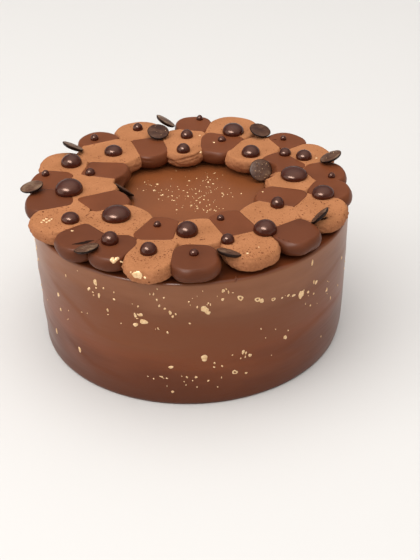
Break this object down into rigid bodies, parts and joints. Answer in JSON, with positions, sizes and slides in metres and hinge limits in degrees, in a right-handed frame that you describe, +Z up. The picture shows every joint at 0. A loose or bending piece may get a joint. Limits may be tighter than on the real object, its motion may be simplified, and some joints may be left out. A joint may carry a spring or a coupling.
{
  "type": "chocolate mousse cake",
  "caption": "Round chocolate mousse cake with a smooth glazed body and a double ring of flat-topped mousse dollops carrying chocolate pearls and discs.",
  "frame": {"origin": "centre of the flat underside, on the axis of the round body", "axes": "+Z up along the axis of the cake, -Y towards the front, +X to the right"},
  "size_m": [0.2045, 0.2056, 0.1076],
  "materials": {
    "glaze": "soft sheen chocolate glaze",
    "tan_mousse": "matt milk chocolate mousse with fine pores",
    "dark_ganache": "smooth satin dark ganache",
    "pearl_chocolate": "polished dark chocolate",
    "disc_chocolate": "satin dark chocolate with a grey bloom"
  },
  "bodies": {
    "root": {"cake_body": "glaze", "dollop_inner_01": "tan_mousse", "dollop_inner_02": "dark_ganache", "dollop_inner_03": "tan_mousse", "dollop_inner_04": "dark_ganache", "dollop_inner_05": "tan_mousse", "dollop_inner_06": "dark_ganache", "dollop_inner_07": "tan_mousse", "dollop_inner_08": "dark_ganache", "dollop_inner_09": "tan_mousse", "dollop_inner_10": "dark_ganache", "dollop_inner_11": "tan_mousse", "dollop_inner_12": "dark_ganache", "dollop_inner_13": "tan_mousse", "dollop_inner_14": "dark_ganache", "dollop_inner_15": "tan_mousse", "dollop_inner_16": "dark_ganache", "dollop_outer_01": "tan_mousse", "dollop_outer_02": "dark_ganache", "dollop_outer_03": "tan_mousse", "dollop_outer_04": "dark_ganache", "dollop_outer_05": "tan_mousse", "dollop_outer_06": "dark_ganache", "dollop_outer_07": "dark_ganache", "dollop_outer_08": "tan_mousse", "dollop_outer_09": "dark_ganache", "dollop_outer_10": "tan_mousse", "dollop_outer_11": "dark_ganache", "dollop_outer_12": "tan_mousse", "dollop_outer_13": "dark_ganache", "dollop_outer_14": "tan_mousse", "dollop_outer_15": "dark_ganache", "dollop_outer_16": "dark_ganache", "dollop_outer_17": "tan_mousse", "dollop_outer_18": "dark_ganache", "dollop_outer_19": "dark_ganache", "pearl_01": "pearl_chocolate", "pearl_02": "pearl_chocolate", "pearl_03": "pearl_chocolate", "pearl_04": "pearl_chocolate", "pearl_05": "pearl_chocolate", "pearl_06": "pearl_chocolate", "pearl_07": "pearl_chocolate", "pearl_08": "pearl_chocolate", "pearl_09": "pearl_chocolate", "pearl_10": "pearl_chocolate", "pearl_11": "pearl_chocolate", "pearl_12": "pearl_chocolate", "pearl_13": "pearl_chocolate", "disc_01": "disc_chocolate", "disc_02": "disc_chocolate", "disc_03": "disc_chocolate", "disc_04": "disc_chocolate", "disc_05": "disc_chocolate", "disc_06": "disc_chocolate", "disc_07": "disc_chocolate", "disc_08": "disc_chocolate", "disc_09": "disc_chocolate", "disc_10": "disc_chocolate", "disc_11": "disc_chocolate"}
  },
  "joints": []
}
